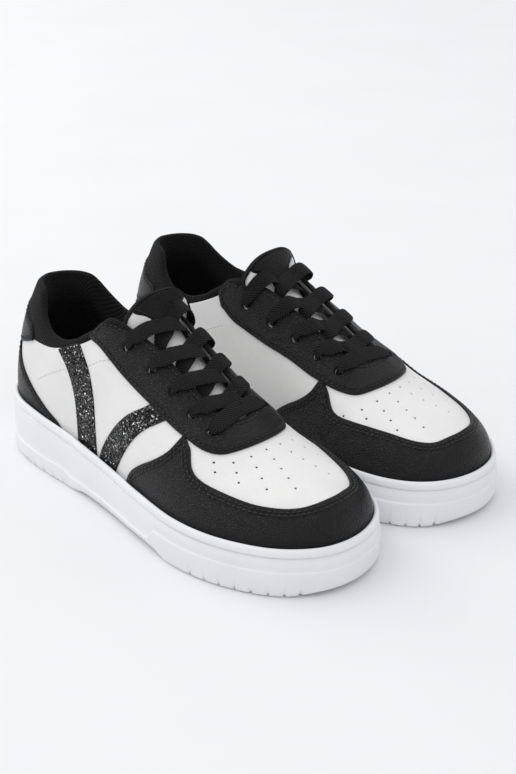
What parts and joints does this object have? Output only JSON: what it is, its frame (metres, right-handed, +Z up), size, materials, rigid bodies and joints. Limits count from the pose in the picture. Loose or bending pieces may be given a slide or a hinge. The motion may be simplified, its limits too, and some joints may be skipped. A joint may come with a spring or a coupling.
{
  "type": "pair of cheer shoes",
  "caption": "Pair of low lace-up cheer shoes with rubber cupsoles, padded collars, white and black leather panels and glitter side stripes",
  "frame": {"origin": "on the ground, at the centre of the pair's bounding box", "axes": "toes point along -Y and heels along +Y, +Z is up, the right shoe is on the -X side and the left on the +X side"},
  "size_m": [0.22, 0.2825, 0.1238],
  "materials": {
    "cupsole": "matte",
    "midsole_foam": "matte",
    "insole_board": "matte",
    "sock_liner": "matte",
    "vamp": "satin",
    "toe_puff": "matte",
    "heel_counter": "matte",
    "vamp_lining": "matte",
    "quarter_outer": "satin",
    "quarter_inner": "satin",
    "mudguard": "satin",
    "eyestay": "satin",
    "heel_overlay": "satin",
    "heel_tab": "satin",
    "stripe_rear": "glitter",
    "stripe_front": "glitter",
    "collar_lining": "matte",
    "collar_foam": "matte",
    "tongue_face": "satin",
    "tongue_foam": "matte",
    "tongue_lining": "matte",
    "tongue_patch": "satin",
    "lace": "matte",
    "aglet_outer": "gloss",
    "aglet_inner": "gloss"
  },
  "bodies": {
    "right_shoe": {"right_cupsole": "cupsole", "right_midsole_foam": "midsole_foam", "right_insole_board": "insole_board", "right_sock_liner": "sock_liner", "right_vamp": "vamp", "right_toe_puff": "toe_puff", "right_heel_counter": "heel_counter", "right_vamp_lining": "vamp_lining", "right_quarter_outer": "quarter_outer", "right_quarter_inner": "quarter_inner", "right_mudguard": "mudguard", "right_eyestay": "eyestay", "right_heel_overlay": "heel_overlay", "right_heel_tab": "heel_tab", "right_stripe_rear": "stripe_rear", "right_stripe_front": "stripe_front", "right_collar_lining": "collar_lining", "right_collar_foam": "collar_foam", "right_lace": "lace", "right_aglet_outer": "aglet_outer", "right_aglet_inner": "aglet_inner"},
    "right_tongue": {"right_tongue_face": "tongue_face", "right_tongue_foam": "tongue_foam", "right_tongue_lining": "tongue_lining", "right_tongue_patch": "tongue_patch"},
    "left_shoe": {"left_cupsole": "cupsole", "left_midsole_foam": "midsole_foam", "left_insole_board": "insole_board", "left_sock_liner": "sock_liner", "left_vamp": "vamp", "left_toe_puff": "toe_puff", "left_heel_counter": "heel_counter", "left_vamp_lining": "vamp_lining", "left_quarter_outer": "quarter_outer", "left_quarter_inner": "quarter_inner", "left_mudguard": "mudguard", "left_eyestay": "eyestay", "left_heel_overlay": "heel_overlay", "left_heel_tab": "heel_tab", "left_stripe_rear": "stripe_rear", "left_stripe_front": "stripe_front", "left_collar_lining": "collar_lining", "left_collar_foam": "collar_foam", "left_lace": "lace", "left_aglet_outer": "aglet_outer", "left_aglet_inner": "aglet_inner"},
    "left_tongue": {"left_tongue_face": "tongue_face", "left_tongue_foam": "tongue_foam", "left_tongue_lining": "tongue_lining", "left_tongue_patch": "tongue_patch"}
  },
  "joints": [
    {"name": "right_tongue_hinge", "type": "hinge", "parent": "right_shoe", "child": "right_tongue", "pos_m": [-0.05485, -0.05575, 0.064], "axis": [1, 0, 0], "range_deg": [-4, 0], "stiffness_Nm_per_rad": 0.5, "springref_deg": 2.86},
    {"name": "left_lift", "type": "slide", "parent": "right_shoe", "child": "left_shoe", "axis": [0, 0, 1], "range_m": [0, 0.15]},
    {"name": "left_tongue_hinge", "type": "hinge", "parent": "left_shoe", "child": "left_tongue", "pos_m": [0.05446, -0.05228, 0.064], "axis": [0.9951, 0.0993, 0], "range_deg": [-4, 0], "stiffness_Nm_per_rad": 0.5, "springref_deg": 2.86}
  ]
}
